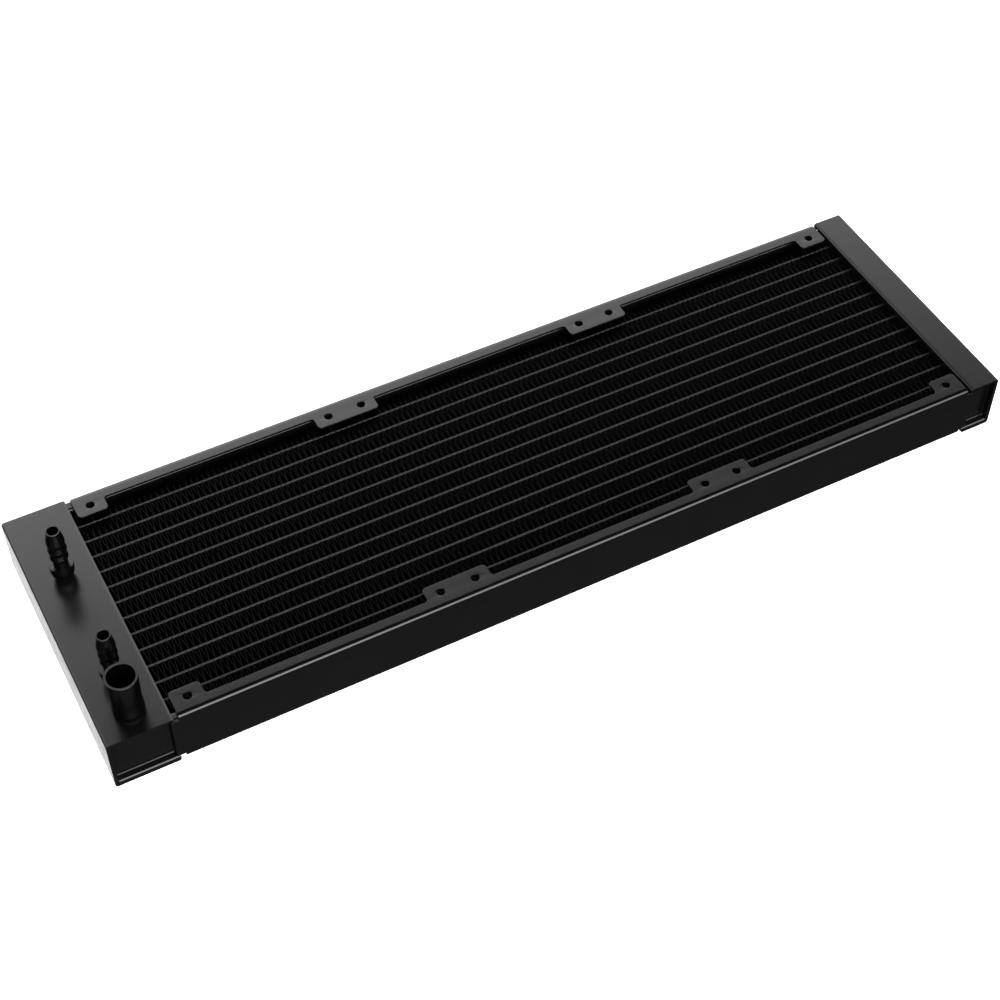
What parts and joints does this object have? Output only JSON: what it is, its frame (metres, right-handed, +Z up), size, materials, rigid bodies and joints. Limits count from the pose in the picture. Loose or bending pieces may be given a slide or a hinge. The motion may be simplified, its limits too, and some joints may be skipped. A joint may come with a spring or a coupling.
{
  "type": "liquid cooling radiator",
  "caption": "Long flat radiator core for computer liquid cooling: tubes and corrugated fins between two tanks, folded side rails with fan screw tabs, hose barbs and a fill port on one tank.",
  "frame": {"origin": "centre of the bounding box's base, on the surface that the two tanks stand on", "axes": "+X along the length, from the tank with the fittings to the return tank; +Y from the front rail to the back rail; +Z up, the way the barbs and the fill port point"},
  "size_m": [0.4022, 0.1198, 0.0536],
  "materials": {
    "tank_paint": "satin",
    "cap_paint": "satin",
    "header_paint": "satin",
    "rail_paint": "satin",
    "side_plate_paint": "satin",
    "tube_paint": "satin",
    "fin_paint": "matte",
    "fitting_paint": "satin",
    "bare_aluminium": "satin"
  },
  "bodies": {
    "root": {"inlet_tank_shell": "tank_paint", "inlet_tank_front_cap": "cap_paint", "inlet_tank_back_cap": "cap_paint", "inlet_tank_baffle": "bare_aluminium", "inlet_header_plate": "header_paint", "return_tank_shell": "tank_paint", "return_tank_front_cap": "cap_paint", "return_tank_back_cap": "cap_paint", "return_header_plate": "header_paint", "front_rail": "rail_paint", "back_rail": "rail_paint", "front_side_plate": "side_plate_paint", "back_side_plate": "side_plate_paint", "inlet_barb": "fitting_paint", "outlet_barb": "fitting_paint", "fill_port": "fitting_paint", "tube_01": "tube_paint", "tube_02": "tube_paint", "tube_03": "tube_paint", "tube_04": "tube_paint", "tube_05": "tube_paint", "tube_06": "tube_paint", "tube_07": "tube_paint", "tube_08": "tube_paint", "tube_09": "tube_paint", "tube_10": "tube_paint", "tube_11": "tube_paint", "tube_12": "tube_paint", "fin_strip_01": "fin_paint", "fin_strip_02": "fin_paint", "fin_strip_03": "fin_paint", "fin_strip_04": "fin_paint", "fin_strip_05": "fin_paint", "fin_strip_06": "fin_paint", "fin_strip_07": "fin_paint", "fin_strip_08": "fin_paint", "fin_strip_09": "fin_paint", "fin_strip_10": "fin_paint", "fin_strip_11": "fin_paint", "fin_strip_12": "fin_paint", "fin_strip_13": "fin_paint"}
  },
  "joints": []
}
